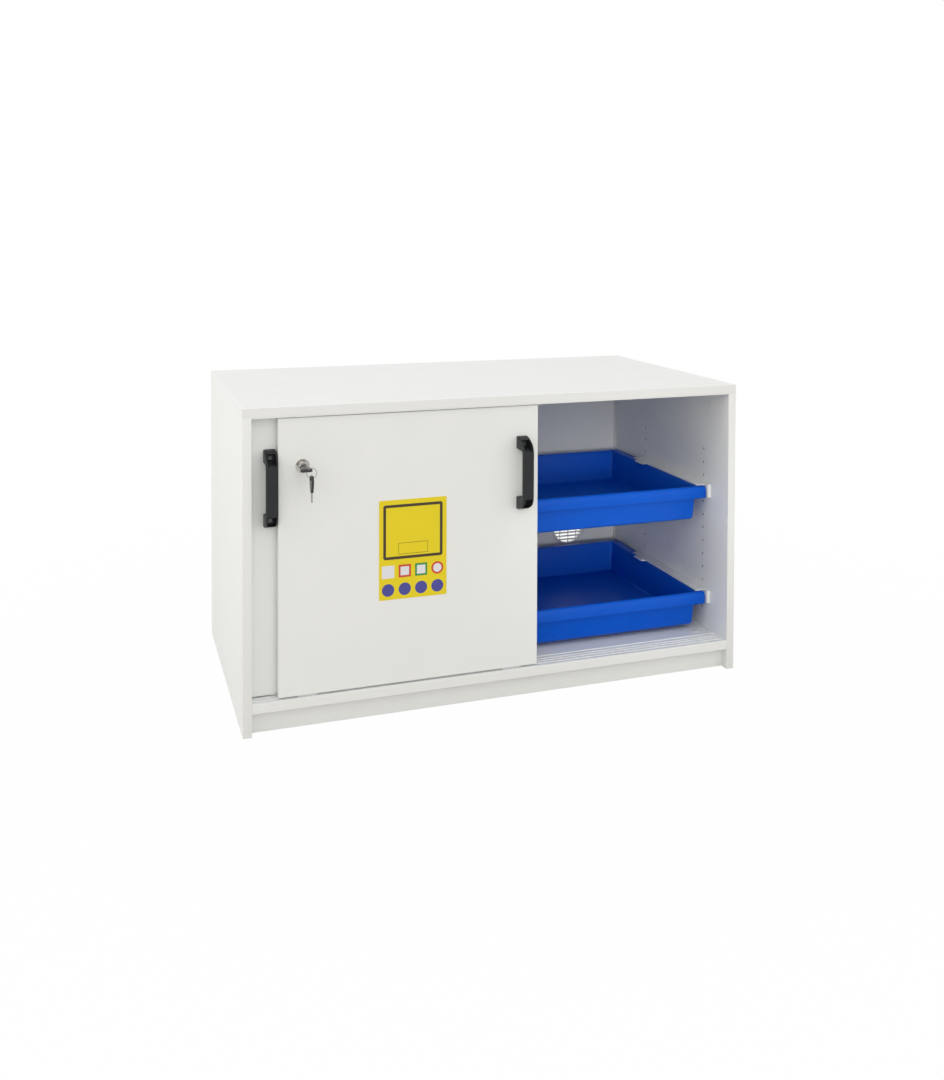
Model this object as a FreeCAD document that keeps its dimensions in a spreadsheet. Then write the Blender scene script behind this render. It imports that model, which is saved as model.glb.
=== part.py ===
import FreeCAD, Part
import math
import os
import re

import Sketcher

os.makedirs("parts", exist_ok=True)
doc = FreeCAD.newDocument("storage_cabinet")

# Driving sizes in millimetres and degrees.
# Here X runs right from the cabinet's left side, Y runs back from its front and Z runs up from the floor.
SIZES = {
    # Melamine faced boards of the body
    "cabinet_width": 1140,
    "cabinet_depth": 620,
    "cabinet_height": 670,
    "board": 19,
    "board_bevel": 0.8,
    "plinth_height": 47,
    "plinth_setback": 22,
    "back_thickness": 8,
    "back_recess": 11,
    "groove_depth": 8,
    "groove_play": 0.5,
    "right_bay_width": 481,
    "partition_gap": 2.5,
    # Cam fittings that join the boards
    "cam_setback": 82,
    "cam_offset": 34,
    "cam_diameter": 15,
    "cam_depth": 12.5,
    "cap_diameter": 20,
    "cap_thickness": 1,
    "bolt_diameter": 6,
    "bolt_bite": 11,
    "fit": 0.2,
    # Rows of holes for rails and shelf pins
    "hole_diameter": 5,
    "hole_depth": 13,
    "hole_first": 116,
    "hole_pitch": 32,
    "hole_count": 13,
    "column_front": 110,
    "column_rear": 408,
    # Plastic tracks over and under the doors
    "track_setback": 0.5,
    "track_height": 3,
    "track_base": 1.2,
    "track_rib": 2,
    "guide_width": 3,
    # Sliding doors
    "door_width": 570,
    "door_thickness": 19,
    "door_setback": 6,
    "door_gap": 4,
    "door_end_gap": 5,
    "door_side_gap": 1.5,
    "front_door_rest": 73,
    "glide_inset": 60,
    "glide_length": 40,
    "glide_width": 12,
    "peg_length": 30,
    "peg_width": 9,
    "peg_depth": 15,
    "slide_play": 0.3,
    # Moulded bridge handles
    "handle_length": 160,
    "handle_width": 25,
    "handle_reach": 43,
    "handle_grip": 10,
    "handle_foot": 28,
    "handle_flat": 9,
    "handle_slope": 16,
    "handle_bend": 13,
    "handle_round": 2,
    "handle_inset": 38,
    "handle_rise": 429,
    "window_width": 14,
    "window_height": 20,
    "window_floor": 10,
    "screw_spacing": 128,
    "screw_diameter": 4,
    "screw_head": 8,
    "screw_head_height": 2.6,
    "screw_bite": 12,
    # Push lock in the front door
    "lock_inset": 50,
    "lock_rise": 475,
    "rosette_diameter": 28.8,
    "rosette_thickness": 2,
    "rosette_bevel": 0.8,
    "sleeve_diameter": 22,
    "sleeve_length": 17,
    "plunger_diameter": 17,
    "plunger_proud": 12,
    "nose_diameter": 12,
    "nose_length": 7,
    "nose_recess": 6,
    "core_diameter": 12,
    "core_proud": 0.4,
    "core_length": 17,
    "running_play": 0.05,
    # Keys and their ring
    "key_reach": 52.5,
    "bow_length": 34,
    "bow_width": 24,
    "bow_neck": 10,
    "bow_taper": 20,
    "bow_round": 8,
    "bow_edge": 1,
    "bow_thickness": 5,
    "bow_bar": 3.5,
    "bow_web": 3.5,
    "bow_slot": 5.5,
    "slot_bevel": 1.2,
    "blade_width": 8.4,
    "blade_thickness": 2.2,
    "blade_length": 20,
    "tang_width": 6,
    "tang_length": 8,
    "notch_depth": 1.6,
    "notch_pitch": 3.4,
    "ring_radius": 10.2,
    "ring_wire": 0.8,
    "ring_drop": 6.2,
    "ring_play": 0.7,
    # Strike plate on the rear door
    "strike_width": 15,
    "strike_height": 44,
    "strike_thickness": 2.5,
    "strike_inset": 0.5,
    "strike_spacing": 30,
    # Round ventilation grilles in the back panel
    "vent_diameter": 100,
    "vent_clear": 84,
    "spigot_wall": 2,
    "spigot_length": 10,
    "vent_flange": 2.5,
    "vent_inset": 141,
    "vent_rise": 126,
    "slat_pitch": 9.4,
    "slat_height": 4,
    "slat_thickness": 2,
    "bar_pitch": 24.5,
    "bar_width": 2.5,
    # Adjustable shelf and its pins
    "shelf_row": 7,
    "shelf_gap": 1,
    "pin_length": 8,
    "pin_collar": 8,
    "collar_thickness": 0.8,
    # Rails that plug into the holes
    "upper_row": 9,
    "lower_row": 1,
    "rail_web": 8,
    "rail_top": 14,
    "rail_bottom": 16,
    "rail_front": 76,
    "arm_front": 92,
    "rail_end": 420,
    "arm_thickness": 2.5,
    "upper_arm": 29,
    "lower_arm": 26,
    "lower_arm_top": 7,
    "tab_start": 345,
    "tab_end": 390,
    "tab_reach": 14,
    "tab_bevel": 4,
    "plug_length": 8,
    # Formed trays
    "tray_setback": 80,
    "tray_depth": 475,
    "tray_height": 81,
    "tray_wall": 3,
    "tray_side_gap": 2,
    "side_flange": 19,
    "front_flange": 9,
    "back_flange": 13.5,
    "tray_taper": 4,
    "tray_corner": 9,
    "tray_foot": 8,
    "foot_taper": 45,
    "rim_corner": 6,
    "lip_height": 27.8,
    "lip_thickness": 4,
}

sheet = doc.addObject("Spreadsheet::Sheet", "sizes")
for row, (alias, number) in enumerate(SIZES.items(), 1):
    sheet.set(f"A{row}", alias)
    sheet.set(f"B{row}", str(number))
    sheet.setAlias(f"B{row}", alias)
doc.recompute()

# Half a side of an eight sided outline, as a share of its width across flats
eighth = round(math.tan(math.pi / 8) / 2, 6)

# How much a cut corner shrinks for each unit that its outline moves in
mitre = round(2 - math.sqrt(2), 6)

# Places that follow from the driving sizes
right_wall = "(cabinet_width - board)"
ceiling = "(cabinet_height - board)"
deck = "(plinth_height + board)"
inner_width = "(cabinet_width - 2 * board)"
partition_right = f"({right_wall} - right_bay_width)"
partition_left = f"({partition_right} - board)"
back_front = "(cabinet_depth - back_recess - back_thickness)"
cam_rows = ("cam_setback", "(cabinet_depth - cam_setback)")
hole_columns = ("column_front", "column_rear")
front_centre = "(door_setback + door_thickness / 2)"
rear_setback = "(door_setback + door_thickness + door_gap)"
rear_centre = f"({rear_setback} + door_thickness / 2)"
track_centre = "(door_setback + door_thickness + door_gap / 2)"
track_depth = f"(2 * ({track_centre} - track_setback))"
track_back = f"(track_setback + {track_depth})"
partition_front = f"({track_back} + partition_gap)"
door_bottom = f"({deck} + door_end_gap)"
door_height = f"({ceiling} - {deck} - 2 * door_end_gap)"
rear_door_rest = "(board + door_side_gap)"
lock_x = "(front_door_rest + lock_inset)"
lock_z = f"({door_bottom} + lock_rise)"
ring_x = f"({lock_x} + bow_width / 2 - bow_web / 2)"
ring_y = "(door_setback - key_reach + bow_bar + bow_slot / 2)"
ring_z = f"({lock_z} - ring_drop)"
front_reach = f"(bow_width / 2 - {ring_y})"


def full(text):
    # The same expression with every size read from the sheet
    return re.sub(r"[a-z]+(_[a-z]+)*", lambda word: f"sizes.{word[0]}" if word[0] in SIZES else word[0], text)


def value(text):
    return float(sheet.evalExpression(full(text)))


def bind(item, name, text):
    item.setExpression(name, full(text))


def place(piece, x, y, z):
    # The origin lies on the floor, in the middle of the whole object's box
    bind(piece, ".Placement.Base.x", f"{x} - cabinet_width / 2")
    bind(piece, ".Placement.Base.y", f"{y} - (cabinet_depth - {front_reach}) / 2")
    bind(piece, ".Placement.Base.z", z)


def new_body(name):
    body = doc.addObject("PartDesign::Body", name)
    body.Label = name
    body.AllowCompound = True
    return body


def new_sketch(body, name, plane, level="0"):
    # A sketch across one axis of its body, at a level along that axis
    flat = body.newObject("Sketcher::SketchObject", name)
    origin_plane = [item for item in body.Origin.OriginFeatures if item.Role == f"{plane}_Plane"][0]
    flat.AttachmentSupport = (origin_plane, [""])
    flat.MapMode = "FlatFace"
    side = "-" if plane == "XZ" else ""
    bind(flat, ".AttachmentOffset.Base.z", f"{side}({level})")
    return flat


def hold(flat, kind, element, point, text):
    index = flat.addConstraint(Sketcher.Constraint(kind, element, point, value(text)))
    bind(flat, f"Constraints[{index}]", text)


def polygon(flat, corners):
    # A closed outline, each corner held at its distances from the sketch's axes
    points = [FreeCAD.Vector(value(x), value(y), 0) for x, y in corners]
    first = flat.GeometryCount
    for point, following in zip(points, points[1:] + points[:1]):
        flat.addGeometry(Part.LineSegment(point, following))
    for step, (x, y) in enumerate(corners):
        line = first + step
        following = first + (step + 1) % len(corners)
        flat.addConstraint(Sketcher.Constraint("Coincident", line, 2, following, 1))
        hold(flat, "DistanceX", line, 1, x)
        hold(flat, "DistanceY", line, 1, y)


def box(flat, left, low, right, high):
    polygon(flat, [(left, low), (right, low), (right, high), (left, high)])


def round_box(flat, left, low, right, high, radius):
    # Four corner arcs joined by tangent lines
    first = flat.GeometryCount
    turn = value(radius)
    corners = [
        (f"{left} + {radius}", f"{low} + {radius}", math.pi),
        (f"{right} - {radius}", f"{low} + {radius}", 1.5 * math.pi),
        (f"{right} - {radius}", f"{high} - {radius}", 0.0),
        (f"{left} + {radius}", f"{high} - {radius}", 0.5 * math.pi),
    ]
    arcs = []
    for x, y, start in corners:
        centre = FreeCAD.Vector(value(x), value(y), 0)
        arcs.append(Part.ArcOfCircle(Part.Circle(centre, FreeCAD.Vector(0, 0, 1), turn), start, start + math.pi / 2))
    for arc in arcs:
        flat.addGeometry(arc)
    for arc, following in zip(arcs, arcs[1:] + arcs[:1]):
        flat.addGeometry(Part.LineSegment(arc.EndPoint, following.StartPoint))
    for step, (x, y, start) in enumerate(corners):
        arc = first + step
        line = arc + 4
        following = first + (step + 1) % 4
        hold(flat, "DistanceX", arc, 3, x)
        hold(flat, "DistanceY", arc, 3, y)
        index = flat.addConstraint(Sketcher.Constraint("Radius", arc, turn))
        bind(flat, f"Constraints[{index}]", radius)
        flat.addConstraint(Sketcher.Constraint("Tangent", arc, 2, line, 1))
        flat.addConstraint(Sketcher.Constraint("Tangent", line, 2, following, 1))


def corner_box(flat, left, low, right, high, corner):
    # A box with its corners cut off
    polygon(flat, [(f"{left} + {corner}", low), (f"{right} - {corner}", low), (right, f"{low} + {corner}"),
                   (right, f"{high} - {corner}"), (f"{right} - {corner}", high), (f"{left} + {corner}", high),
                   (left, f"{high} - {corner}"), (left, f"{low} + {corner}")])


def circle(flat, x, y, diameter):
    centre = FreeCAD.Vector(value(x), value(y), 0)
    element = flat.addGeometry(Part.Circle(centre, FreeCAD.Vector(0, 0, 1), value(diameter) / 2))
    index = flat.addConstraint(Sketcher.Constraint("Diameter", element, value(diameter)))
    bind(flat, f"Constraints[{index}]", diameter)
    hold(flat, "DistanceX", element, 3, x)
    hold(flat, "DistanceY", element, 3, y)


def eight_sided(flat, x, y, across):
    # Repeated and hidden holes and pins have eight flats around their true diameter
    half = f"({across}) / 2"
    short = f"({across}) * {eighth}"
    around = [(f"{x} {a} {u}", f"{y} {b} {v}") for a, b, u, v in (
        ("+", "-", half, short), ("+", "+", half, short), ("+", "+", short, half), ("-", "+", short, half),
        ("-", "+", half, short), ("-", "-", half, short), ("-", "-", short, half), ("+", "-", short, half))]
    polygon(flat, around)


def many_sided(flat, radius):
    # Sixteen sides around the origin, its corners on a circle
    corners = []
    for step in range(16):
        turn = math.pi * (step + 0.5) / 8
        corners.append((f"{radius} * {round(math.cos(turn), 6)}", f"{radius} * {round(math.sin(turn), 6)}"))
    polygon(flat, corners)


def faces_front(flat):
    return "XZ" in flat.AttachmentSupport[0][0].Name


def pad(flat, length, taper=None):
    # Material from the sketch's level towards the high end of its axis, or down with a taper
    body = flat.getParentGeoFeatureGroup()
    feature = body.newObject("PartDesign::Pad", f"{flat.Name}_pad")
    feature.Profile = flat
    feature.Reversed = faces_front(flat) or taper is not None
    bind(feature, "Length", length)
    if taper:
        bind(feature, "TaperAngle", f"-{taper}")
    doc.recompute()
    return feature


def cut(flat, length, taper=None):
    # A hollow from the sketch's level towards the high end of its axis, or down with a taper
    body = flat.getParentGeoFeatureGroup()
    before = body.Shape.Volume
    feature = body.newObject("PartDesign::Pocket", f"{flat.Name}_cut")
    feature.Profile = flat
    feature.Reversed = not faces_front(flat) and taper is None
    bind(feature, "Length", length)
    if taper:
        bind(feature, "TaperAngle", f"-{taper}")
    doc.recompute()
    if not body.Shape.Volume < before:
        raise RuntimeError(f"{feature.Label} on {body.Label} cuts nothing")
    return feature


def turned(body, corners):
    # A solid of revolution about the body's Y axis, each corner a radius and a depth
    flat = new_sketch(body, "turned_outline", "XY")
    polygon(flat, corners)
    feature = body.newObject("PartDesign::Revolution", "turning")
    feature.Profile = flat
    feature.ReferenceAxis = (flat, ["V_Axis"])
    feature.Angle = 360
    doc.recompute()


def repeat(feature, flat, axis, length, count):
    body = flat.getParentGeoFeatureGroup()
    pattern = body.newObject("PartDesign::LinearPattern", f"{flat.Name}_row")
    pattern.Originals = [feature]
    pattern.Direction = (flat, [axis])
    bind(pattern, "Length", length)
    bind(pattern, "Occurrences", count)
    body.Tip = pattern
    doc.recompute()


def lies(edge, shape, axis, where):
    # Whether an edge stays at one level of an axis: a number, or the low or high end of the shape
    low = getattr(edge.BoundBox, f"{axis}Min")
    high = getattr(edge.BoundBox, f"{axis}Max")
    ends = {"low": getattr(shape.BoundBox, f"{axis}Min"), "high": getattr(shape.BoundBox, f"{axis}Max")}
    level = ends.get(where, where)
    return abs(low - level) < 0.01 and abs(high - level) < 0.01


def rounded(body, radius, along=None, **levels):
    soften(body, "PartDesign::Fillet", "Radius", radius, along, levels)


def bevelled(body, size, along=None, **levels):
    soften(body, "PartDesign::Chamfer", "Size", size, along, levels)


def soften(body, kind, name, size, along, levels):
    # Rounds or bevels the edges that run along an axis, or all of them, at the given levels of other axes
    tip = body.Tip
    names = []
    for number, edge in enumerate(tip.Shape.Edges, 1):
        if along and getattr(edge.BoundBox, f"{along}Length") < edge.Length * 0.99:
            continue
        if all(lies(edge, tip.Shape, axis, where) for axis, where in levels.items()):
            names.append(f"Edge{number}")
    if not names:
        raise RuntimeError(f"no edge to soften on {body.Label}")
    feature = body.newObject(kind, "softening")
    feature.Base = (tip, names)
    bind(feature, name, size)
    doc.recompute()


def new_board(name, corner, width, depth, height):
    body = new_body(name)
    flat = new_sketch(body, "outline", "XY")
    box(flat, "0", "0", width, depth)
    pad(flat, height)
    place(body, *corner)
    return body


def drill(body, plane, level, points, diameter, length, outline=eight_sided):
    flat = new_sketch(body, "drilling", plane, level)
    for x, y in points:
        outline(flat, x, y, diameter)
    return flat, cut(flat, length)


def groove_range():
    return back_front, f"{back_front} + back_thickness + groove_play"


# Side panels stand on the floor and carry hole rows, cam seats and the back panel's groove
def make_side_panel(name, is_left):
    body = new_board(name, ("0" if is_left else right_wall, "0", "0"), "board", "cabinet_depth", ceiling)
    bevelled(body, "board_bevel", along="Z", Y="low")

    def from_inside(depth):
        return f"board - {depth}" if is_left else "0"

    groove = new_sketch(body, "back_groove", "XY")
    groove_front, groove_back = groove_range()
    box(groove, from_inside("groove_depth"), groove_front, "board" if is_left else "groove_depth", groove_back)
    cut(groove, ceiling)
    cams = [(row, f"{ceiling} - cam_offset") for row in cam_rows]
    drill(body, "YZ", from_inside("cam_depth"), cams, "cam_diameter + 2 * fit", "cam_depth")
    tops = [("board / 2", row) for row in cam_rows]
    drill(body, "XY", f"{ceiling} - cam_offset", tops, "bolt_diameter + 2 * fit", "cam_offset")
    bites = [(row, f"{deck} - board / 2") for row in cam_rows]
    drill(body, "YZ", from_inside("bolt_bite"), bites, "bolt_diameter + 2 * fit", "bolt_bite")
    starts = [(column, "hole_first") for column in hole_columns]
    flat, holes = drill(body, "YZ", from_inside("hole_depth"), starts, "hole_diameter", "hole_depth")
    repeat(holes, flat, "V_Axis", "hole_pitch * (hole_count - 1)", "hole_count")
    return body


# The top panel lies over both sides
def make_top_panel():
    body = new_board("top_panel", ("0", "0", ceiling), "cabinet_width", "cabinet_depth", "board")
    bevelled(body, "board_bevel", Z="high")
    bites = [(x, row) for x in ("board / 2", "cabinet_width - board / 2") for row in cam_rows]
    drill(body, "XY", "0", bites, "bolt_diameter + 2 * fit", "bolt_bite")
    groove = new_sketch(body, "back_groove", "XY")
    groove_front, groove_back = groove_range()
    box(groove, "board - groove_depth", groove_front, f"{right_wall} + groove_depth", groove_back)
    cut(groove, "groove_depth")
    return body


# The bottom panel hangs between the sides on cam fittings
def make_bottom_panel():
    body = new_board("bottom_panel", ("board", "0", "plinth_height"), inner_width, "cabinet_depth", "board")
    bevelled(body, "board_bevel", along="X", Y="low")
    seats = [(x, row) for x in ("cam_offset", f"{inner_width} - cam_offset") for row in cam_rows]
    drill(body, "XY", "board - cam_depth", seats, "cam_diameter + 2 * fit", "cam_depth")
    ends = [(row, "board / 2") for row in cam_rows]
    drill(body, "YZ", "0", ends, "bolt_diameter + 2 * fit", "cam_offset")
    drill(body, "YZ", f"{inner_width} - cam_offset", ends, "bolt_diameter + 2 * fit", "cam_offset")
    groove = new_sketch(body, "back_groove", "XY", "board - groove_depth")
    groove_front, groove_back = groove_range()
    box(groove, "0", groove_front, inner_width, groove_back)
    cut(groove, "groove_depth")
    return body


def make_plinth_board():
    body = new_board("plinth_board", ("board", "plinth_setback", "0"), inner_width, "board", "plinth_height")
    bevelled(body, "board_bevel", along="X", Y="low", Z="low")
    return body


# The back panel floats in grooves on all four sides and holds two grilles
def make_back_panel():
    reach = "(groove_depth - groove_play)"
    width = f"{inner_width} + 2 * {reach}"
    height = f"{ceiling} - {deck} + 2 * {reach}"
    corner = (f"board - {reach}", back_front, f"{deck} - {reach}")
    body = new_board("back_panel", corner, width, "back_thickness", height)
    centres = [(f"vent_inset + {reach}", f"vent_rise + {reach}")]
    centres.append((f"{width} - vent_inset - {reach}", f"vent_rise + {reach}"))
    drill(body, "XZ", "0", centres, "vent_clear + 2 * spigot_wall + 2 * fit", "back_thickness", circle)
    return body


# The partition makes the right bay as wide as one open door
def make_partition():
    corner = (partition_left, partition_front, deck)
    body = new_board("centre_partition", corner, "board", f"{back_front} - {partition_front}", f"{ceiling} - {deck}")
    bevelled(body, "board_bevel", along="Z", Y="low")
    starts = [(f"{column} - {partition_front}", f"hole_first - {deck}") for column in hole_columns]
    flat, holes = drill(body, "YZ", "0", starts, "hole_diameter", "board")
    repeat(holes, flat, "V_Axis", "hole_pitch * (hole_count - 1)", "hole_count")
    return body


def make_shelf():
    width = f"{partition_left} - board - 2 * shelf_gap"
    corner = ("board + shelf_gap", f"{partition_front} + shelf_gap", f"{shelf_level} + hole_diameter / 2")
    depth = f"{back_front} - {partition_front} - 2 * shelf_gap"
    body = new_board("adjustable_shelf", corner, width, depth, "board")
    bevelled(body, "board_bevel", along="X", Y="low")
    return body


def hole_level(row):
    return f"(hole_first + hole_pitch * {row})"


shelf_level = hole_level("shelf_row")


def make_shelf_pins():
    body = new_body("shelf_pins")
    points = [(column, shelf_level) for column in hole_columns]
    for wall, collar in (("board", "board"), (partition_left, f"{partition_left} - collar_thickness")):
        pins = new_sketch(body, "pins", "YZ", f"{wall} - pin_length")
        for column, level in points:
            eight_sided(pins, column, level, "hole_diameter")
        pad(pins, "2 * pin_length")
        collars = new_sketch(body, "collars", "YZ", collar)
        for column, level in points:
            eight_sided(collars, column, level, "pin_collar")
        pad(collars, "collar_thickness")
    place(body, "0", "0", "0")
    return body


# Cam fittings: a cam and a bolt at each of eight joints, and a cap over each cam
def make_round_group(name, groups, outline=eight_sided):
    body = new_body(name)
    for plane, level, points, diameter, length in groups:
        flat = new_sketch(body, name, plane, level)
        for x, y in points:
            outline(flat, x, y, diameter)
        pad(flat, length)
    place(body, "0", "0", "0")
    return body


def make_cam_fittings():
    sides = [(row, f"{ceiling} - cam_offset") for row in cam_rows]
    floors = [(x, row) for x in ("board + cam_offset", f"{right_wall} - cam_offset") for row in cam_rows]
    tops = [(x, row) for x in ("board / 2", "cabinet_width - board / 2") for row in cam_rows]
    ends = [(row, f"{deck} - board / 2") for row in cam_rows]
    gap = "(cam_diameter / 2 + fit)"
    shank = f"cam_offset - {gap} + bolt_bite - fit"
    make_round_group("cam_housings", [
        ("YZ", "board - cam_depth", sides, "cam_diameter", "cam_depth"),
        ("YZ", right_wall, sides, "cam_diameter", "cam_depth"),
        ("XY", f"{deck} - cam_depth", floors, "cam_diameter", "cam_depth"),
    ])
    make_round_group("cam_bolts", [
        ("XY", f"{ceiling} - cam_offset + {gap}", tops, "bolt_diameter", shank),
        ("YZ", "board - bolt_bite + fit", ends, "bolt_diameter", shank),
        ("YZ", f"{right_wall} - cam_offset + {gap}", ends, "bolt_diameter", shank),
    ])
    make_round_group("cam_caps", [
        ("YZ", "board", sides, "cap_diameter", "cap_thickness"),
        ("YZ", f"{right_wall} - cap_thickness", sides, "cap_diameter", "cap_thickness"),
        ("XY", deck, floors, "cap_diameter", "cap_thickness"),
    ])


# Tracks: a thin base, three ribs that part two channels, and a guide down each channel
def make_track(name, is_top):
    body = new_body(name)
    base = new_sketch(body, "base", "YZ")
    base_low = "track_height - track_base" if is_top else "0"
    box(base, "0", base_low, track_depth, f"{base_low} + track_base")
    pad(base, inner_width)
    ribs = new_sketch(body, "ribs", "YZ")
    ribs_low = "0" if is_top else "track_base"
    ribs_high = "track_height - track_base" if is_top else "track_height"
    spans = [("0", "track_rib")]
    for centre in (front_centre, rear_centre):
        middle = f"{centre} - track_setback"
        spans.append((f"{middle} - guide_width / 2", f"{middle} + guide_width / 2"))
    spans.append((f"{track_depth} / 2 - track_rib / 2", f"{track_depth} / 2 + track_rib / 2"))
    spans.append((f"{track_depth} - track_rib", track_depth))
    for front, rear in spans:
        box(ribs, front, ribs_low, rear, ribs_high)
    pad(ribs, inner_width)
    place(body, "board", "track_setback", f"{ceiling} - track_height" if is_top else deck)
    return body


# Doors are boards with seats for four glides, and pilot holes for the handle's screws
def make_door(name, rest, setback, handle_x):
    body = new_board(name, (rest, setback, door_bottom), "door_width", "door_thickness", door_height)
    bevelled(body, "board_bevel")
    for level in ("0", f"{door_height} - peg_depth"):
        seats = new_sketch(body, "glide_seats", "XY", level)
        for centre in ("glide_inset", "(door_width - glide_inset)"):
            side = "(peg_length / 2 + fit)"
            front = "door_thickness / 2 - peg_width / 2 - fit"
            rear = "door_thickness / 2 + peg_width / 2 + fit"
            box(seats, f"{centre} - {side}", front, f"{centre} + {side}", rear)
        cut(seats, "peg_depth")
    pilots = [(handle_x, f"handle_rise {side} screw_spacing / 2") for side in "-+"]
    drill(body, "XZ", "0", pilots, "screw_diameter + fit", "screw_bite + fit")
    return body


# A glide is a foot that straddles the guide, on a peg in the door's edge
def make_glides(name, rest, centre):
    body = new_body(name)
    reach = "(door_end_gap - track_base - slide_play)"
    slot = "(door_end_gap - track_height + slide_play)"
    for start in ("glide_inset", "door_width - glide_inset"):
        low_foot = f"(0 - {reach})"
        high_foot = f"({door_height} + {reach})"
        side = "(glide_width / 2)"
        gap = "(guide_width / 2 + slide_play)"
        feet = new_sketch(body, "feet", "YZ", f"{start} - glide_length / 2")
        polygon(feet, [
            (f"0 - {side}", low_foot), (f"0 - {gap}", low_foot), (f"0 - {gap}", f"0 - {slot} + 2 * slide_play"),
            (gap, f"0 - {slot} + 2 * slide_play"), (gap, low_foot), (side, low_foot), (side, "0"), (f"0 - {side}", "0"),
        ])
        polygon(feet, [
            (f"0 - {side}", high_foot), (f"0 - {gap}", high_foot),
            (f"0 - {gap}", f"{door_height} + {slot} - 2 * slide_play"),
            (gap, f"{door_height} + {slot} - 2 * slide_play"), (gap, high_foot), (side, high_foot),
            (side, door_height), (f"0 - {side}", door_height),
        ])
        pad(feet, "glide_length")
        pegs = new_sketch(body, "pegs", "YZ", f"{start} - peg_length / 2")
        box(pegs, "0 - peg_width / 2", "0", "peg_width / 2", "peg_depth - fit")
        box(pegs, "0 - peg_width / 2", f"{door_height} - peg_depth + fit", "peg_width / 2", door_height)
        pad(pegs, "peg_length")
    place(body, rest, centre, door_bottom)
    return body


# Bridge handle: sloped ends with a screw window each, and a flat grip clear of the door
def make_handle(name, x, setback):
    body = new_body(name)
    end = "(handle_length / 2)"
    foot = f"({end} - handle_foot)"
    gap = "(0 - handle_reach + handle_grip)"
    profile = new_sketch(body, "profile", "YZ", "0 - handle_width / 2")
    polygon(profile, [
        ("0", f"0 - {end}"), ("0 - handle_flat", f"0 - {end}"), ("0 - handle_reach", f"0 - {end} + handle_slope"),
        ("0 - handle_reach", f"{end} - handle_slope"), ("0 - handle_flat", end), ("0", end), ("0", foot),
        (gap, foot), (gap, f"0 - {foot}"), ("0", f"0 - {foot}"),
    ])
    pad(profile, "handle_width")
    rounded(body, "handle_bend", along="X", Y=-value("handle_reach"))
    for level in (-value(end), value(end)):
        rounded(body, "handle_bend", along="X", Y=-value("handle_flat"), Z=level)
    for level in (-value(foot), value(foot)):
        rounded(body, "handle_grip / 2", along="X", Y=value(gap), Z=level)
    for side in (-1, 1):
        bevelled(body, "handle_round", along="Z", X=side * value("handle_width / 2"), Y=-value("handle_reach"))
    windows = new_sketch(body, "windows", "XZ", "0 - handle_reach")
    for side in "-+":
        centre = f"(0 {side} screw_spacing / 2)"
        low = f"{centre} - window_height / 2"
        box(windows, "0 - window_width / 2", low, "window_width / 2", f"{low} + window_height")
    cut(windows, "handle_reach - window_floor")
    bores = [("0", f"0 {side} screw_spacing / 2") for side in "-+"]
    drill(body, "XZ", "0 - window_floor", bores, "screw_diameter + 2 * fit", "window_floor")
    place(body, x, setback, f"{door_bottom} + handle_rise")
    return body


def make_handle_screws(name, x, setback):
    body = new_body(name)
    points = [("0", f"0 {side} screw_spacing / 2") for side in "-+"]
    heads = new_sketch(body, "heads", "XZ", "0 - window_floor - screw_head_height")
    shanks = new_sketch(body, "shanks", "XZ", "0 - window_floor")
    for px, pz in points:
        eight_sided(heads, px, pz, "screw_head")
        eight_sided(shanks, px, pz, "screw_diameter")
    pad(heads, "screw_head_height")
    pad(shanks, "window_floor + screw_bite")
    place(body, x, setback, f"{door_bottom} + handle_rise")
    return body


# Push lock: a housing through the door, a plunger that slides in it, and a core that the key turns
def make_lock():
    bore = "(plunger_diameter / 2 + running_play)"
    housing = new_body("lock_housing")
    turned(housing, [
        (bore, "0 - rosette_thickness"), ("rosette_diameter / 2 - rosette_bevel", "0 - rosette_thickness"),
        ("rosette_diameter / 2", "0"), ("sleeve_diameter / 2", "0"), ("sleeve_diameter / 2", "sleeve_length"),
        (bore, "sleeve_length"),
    ])
    nose_end = "(door_thickness - nose_recess)"
    core_seat = "(core_length - plunger_proud + running_play)"
    core_bore = "(core_diameter / 2 + running_play)"
    plunger = new_body("lock_plunger")
    turned(plunger, [
        ("0", core_seat), (core_bore, core_seat), (core_bore, "0 - plunger_proud"),
        ("plunger_diameter / 2 - rosette_bevel", "0 - plunger_proud"),
        ("plunger_diameter / 2", "rosette_bevel - plunger_proud"),
        ("plunger_diameter / 2", f"{nose_end} - nose_length"), ("nose_diameter / 2", f"{nose_end} - nose_length"),
        ("nose_diameter / 2", nose_end), ("0", nose_end),
    ])
    core = new_body("lock_core")
    front = new_sketch(core, "outline", "XZ", "0 - plunger_proud - core_proud")
    circle(front, "0", "0", "core_diameter")
    pad(front, "core_length + core_proud")
    keyway = new_sketch(core, "keyway", "XZ", "0 - plunger_proud - core_proud")
    wide = "(blade_width / 2 + fit)"
    thick = "(blade_thickness / 2 + fit / 2)"
    box(keyway, f"0 - {wide}", f"0 - {thick}", wide, thick)
    cut(keyway, "core_length + core_proud - rosette_thickness")
    for piece in (housing, plunger, core):
        place(piece, lock_x, "door_setback", lock_z)


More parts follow.
